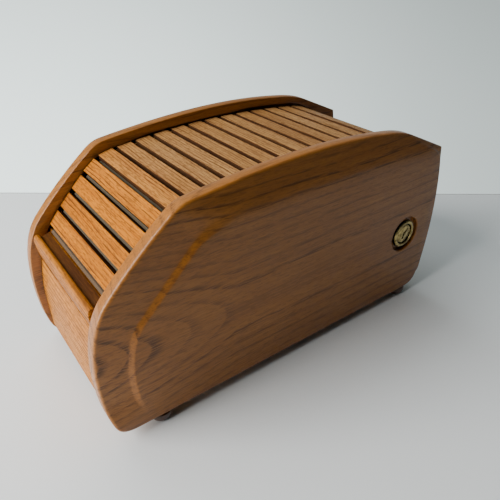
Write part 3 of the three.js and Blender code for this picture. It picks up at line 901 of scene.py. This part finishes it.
def build_plug(axis, centre):
    face = OUTER - 0.9
    tenon = LOCK_NECK - CAM_THICK - 2 * GAP
    plug = lathe("lock_core", [
        (1.6, tenon), (3.1, tenon), (3.4, tenon + 0.3), (3.4, LOCK_NECK), (5.5, LOCK_NECK),
        (5.5, LOCK_SEAT + 1.3), (LOCK_PLUG_RADIUS, LOCK_SEAT + 1.3),
        (LOCK_PLUG_RADIUS, face - 0.5), (LOCK_PLUG_RADIUS - 0.15, face - 0.2),
        (LOCK_PLUG_RADIUS - 0.5, face), (0, face), (0, tenon + 6), (1.6, tenon + 6),
        (1.6, tenon)], axis)
    keyway = prism("keyway", [(centre.y + y, centre.z + z) for y, z in (
        (-1.7, -4.1), (0.1, -4.2), (0.5, -0.6), (4.4, 2.6), (3.6, 3.7), (-0.9, 0.5))],
        face - 6, face + 1)
    carve(plug, keyway)
    # Painted shade on the plug's flank and inside its keyway.
    mark_painted_shade(plug, lambda at, normal: 1.0 if LOCK_SEAT + 1.2 < at.x < face - 0.6 else 0.0)
    fit_out(plug, "lock_plug", "lock_brass", "lock_plug", tone=0.2)


def build_cam(axis, centre):
    hub, tip, reach = 6.0, 3.6, 12.6
    outline = (arc(centre.y, centre.z, hub, 180, 360, 24)
               + arc(centre.y + 0.6, centre.z + reach - tip, tip, 0, 180, 18))
    inner = LOCK_NECK - GAP - CAM_THICK
    cam = prism("lock_arm", outline, inner, inner + CAM_THICK, 0.3)
    hole = lathe("cam_hole", [(0, inner - 1), (3.7, inner - 1), (3.7, inner + 4),
                              (0, inner + 4)], axis, segments=48)
    carve(cam, hole)
    fit_out(cam, "lock_plug", "steel_parts", "lock_cam", tone=0.3)


def build_cam_screw(axis, centre):
    seat = LOCK_NECK - CAM_THICK - 3 * GAP
    screw = lathe("cam_screw_head", [
        (0, seat - 2.0), (2.4, seat - 2.2), (3.6, seat - 1.8), (4.4, seat - 1.0), (4.4, seat),
        (1.3, seat), (1.3, seat + 5), (0, seat + 5)], axis, segments=48)
    slots = [prism(f"screw_slot_{k}", [
        (centre.y - a, centre.z - b), (centre.y + a, centre.z - b),
        (centre.y + a, centre.z + b), (centre.y - a, centre.z + b)],
        seat - 3, seat - 1.2) for k, (a, b) in enumerate(((2.6, 0.45), (0.45, 2.6)))]
    carve(screw, *slots)
    fit_out(screw, "lock_plug", "steel_parts", "cam_screw", tone=0.4)


def build_nut(axis, centre):
    corners = [math.pi / 2 + k * math.pi / 3 for k in range(6)]
    outline = [(centre.y + NUT_CORNER * math.cos(a), centre.z + NUT_CORNER * math.sin(a))
               for a in corners]
    nut = prism("lock_hex_nut", outline, INNER - GAP - 3.4, INNER - GAP, 0.5)
    bore = lathe("nut_bore", [(0, 40), (8.05, 40), (8.05, 52), (0, 52)], axis, segments=72)
    carve(nut, bore)
    fit_out(nut, "case", "lock_brass", "lock_nut", tone=0.5)


def build_lock():
    axis = lock_axis()
    centre = (axis - ORIGIN) / MM
    build_housing(axis)
    build_plug(axis, centre)
    build_cam(axis, centre)
    build_cam_screw(axis, centre)
    build_nut(axis, centre)


# ---- Feet -----------------------------------------------------------------------------

def build_feet():
    for end in ("front", "rear"):
        for side in ("right", "left"):
            low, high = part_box(f"foot_{end}_{side}")
            centre = Vector(((low.x + high.x) / 2, (low.y + high.y) / 2, ORIGIN.z))
            dome = [(7 - 2.4 * (1 - math.cos(math.radians(a))),
                     -2.2 - 4.5 * math.sin(math.radians(a))) for a in range(0, 91, 10)]
            foot = lathe(f"foot_dome_{end}_{side}", [
                (1.9, -GAP), (6.4, -GAP), (6.9, -0.7), (7, -1.4), *dome, (4.3, -7), (3.7, -7),
                (3.5, -6.8), (3.5, -4.4), (1.9, -4.4), (1.9, -GAP)], centre, "Z", 64)
            fit_out(foot, "case", "dark_foot", f"foot_{end}_{side}", tone=0.2)
            screw = lathe(f"foot_pin_{end}_{side}", [
                (0, -6.2), (1.6, -6.2), (2.6, -5.9), (3.1, -5.4), (3.1, -4.7), (1.5, -4.7),
                (1.5, 8), (0.4, 9), (0, 9)], centre, "Z", 32)
            fit_out(screw, "case", "steel_parts", f"foot_screw_{end}_{side}", tone=0.3)


# ---- Stage, lights and camera ---------------------------------------------------------

# Metres from here on.
CAMERA_AT = Vector((0.2519, -0.1797, 0.2468))
AZIMUTH, ELEVATION, ROLL = (math.radians(a) for a in (53.62, 32.04, 0.165))
FLOOR_REACH = 0.514          # from under the camera to the line where floor meets wall
FLOOR_RIGHT = 0.1            # the floor's near corner, to the right of the camera
ACROSS = Vector((math.cos(AZIMUTH), math.sin(AZIMUTH), 0))
AWAY = Vector((-math.sin(AZIMUTH), math.cos(AZIMUTH), 0))


def camera_axes():
    """The camera's right, up and backward directions."""
    back = Vector((math.sin(AZIMUTH) * math.cos(ELEVATION),
                   -math.cos(AZIMUTH) * math.cos(ELEVATION), math.sin(ELEVATION)))
    right = (-back).cross(Vector((0, 0, 1))).normalized()
    up = right.cross(-back)
    return (right * math.cos(ROLL) + up * math.sin(ROLL),
            up * math.cos(ROLL) - right * math.sin(ROLL), back)


def build_camera():
    data = bpy.data.cameras.new("camera")
    data.lens, data.sensor_width = 36.0, 36.0
    data.clip_start = 0.01
    camera = new_object("camera", data)
    right, up, back = camera_axes()
    turn = Matrix((right, up, back)).transposed().to_4x4()
    camera.matrix_world = Matrix.Translation(CAMERA_AT) @ turn
    bpy.context.scene.camera = camera


def stage_plane(name, corners, colour, rough):
    n = Nodes(name)
    x, y, z = n.position()
    mottle = n.noise(n.vector(x, y, z), 0.01, 3.0)
    n.set(Base_Color=n.blend(n.math("MULTIPLY", mottle, 0.06), colour, (0.3, 0.3, 0.3, 1)),
          Roughness=rough)
    mesh = bpy.data.meshes.new(name)
    mesh.from_pydata([Vector(c) for c in corners], [], [range(len(corners))])
    mesh.materials.append(n.material)
    plane = new_object(name, mesh)


def build_stage():
    line = Vector((CAMERA_AT.x, CAMERA_AT.y, 0)) + AWAY * FLOOR_REACH
    near = line - AWAY * 0.8
    side = near + ACROSS * FLOOR_RIGHT
    corner = line + ACROSS * 0.9
    stage_plane("floor", [near - ACROSS * 0.7, side, corner, line - ACROSS * 1.4],
                srgb(236, 241, 243), 0.45)
    # A painted shadow: a thin grey strip along the line where the floor meets the wall.
    shadow_strip = AWAY * 0.0018
    stage_plane("shadow_strip", [line - ACROSS * 1.4, corner, corner + shadow_strip, line - ACROSS * 1.4 + shadow_strip],
                srgb(176, 178, 178), 0.8)


def area_light(name, at, target, size, power, colour, mirrored=True):
    data = bpy.data.lights.new(name, "AREA")
    data.shape, data.size, data.size_y = "RECTANGLE", *size
    data.energy, data.color = power, colour
    lamp = new_object(name, data)
    lamp.location = at
    lamp.rotation_euler = (Vector(target) - Vector(at)).to_track_quat("-Z", "Y").to_euler()
    lamp.visible_glossy = mirrored


def build_world():
    """A room: a pale wall behind the box, brighter to the left, and dark on the other sides."""
    world = bpy.data.worlds.new("world")
    world.use_nodes = True
    tree = world.node_tree
    direction = tree.nodes.new("ShaderNodeTexCoord").outputs["Generated"]

    def ramp(axis, low, high, at_low, at_high):
        """A value that changes smoothly with how far a direction points along an axis."""
        dot = tree.nodes.new("ShaderNodeVectorMath")
        dot.operation = "DOT_PRODUCT"
        tree.links.new(direction, dot.inputs[0])
        dot.inputs[1].default_value = axis
        spread = tree.nodes.new("ShaderNodeMapRange")
        spread.interpolation_type = "SMOOTHSTEP"
        tree.links.new(dot.outputs["Value"], spread.inputs["Value"])
        for name, value in (("From Min", low), ("From Max", high),
                            ("To Min", at_low), ("To Max", at_high)):
            spread.inputs[name].default_value = value
        return spread.outputs[0]

    def combine(operation, a, b):
        node = tree.nodes.new("ShaderNodeMath")
        node.operation = operation
        tree.links.new(a, node.inputs[0])
        tree.links.new(b, node.inputs[1])
        return node.outputs[0]

    wall = combine("MULTIPLY", ramp(ACROSS, -0.6, 0.55, 2.45, 0.84), ramp(AWAY, -0.1, 0.5, 0.05, 1))
    wall = combine("MULTIPLY", wall, ramp(ACROSS, -0.85, -0.5, 0.1, 1.0))
    ceiling = ramp((0, 0, 1), -0.45, 0.4, 1.0, 0.2)
    background = tree.nodes["Background"]
    background.inputs[0].default_value = (0.88, 1.0, 0.98, 1.0)
    tree.links.new(combine("MULTIPLY", wall, ceiling), background.inputs[1])
    bpy.context.scene.world = world


def build_lights():
    build_world()
    area_light("key", at=(-0.20, -1.06, 0.56), target=(0, 0.02, 0.06), size=(0.9, 1.1), power=37,
               colour=(1.0, 0.97, 0.94))
    area_light("fill", at=(-0.7, -0.1, 1.0), target=(0, 0, 0), size=(1.0, 1.0), power=7,
               colour=(0.94, 1.0, 1.0), mirrored=False)


# ---- Assembly -------------------------------------------------------------------------

build_panels()
build_boards()
build_curtain()
build_lift_rail()
build_strike()
build_lock()
build_feet()
build_stage()
build_lights()
build_camera()
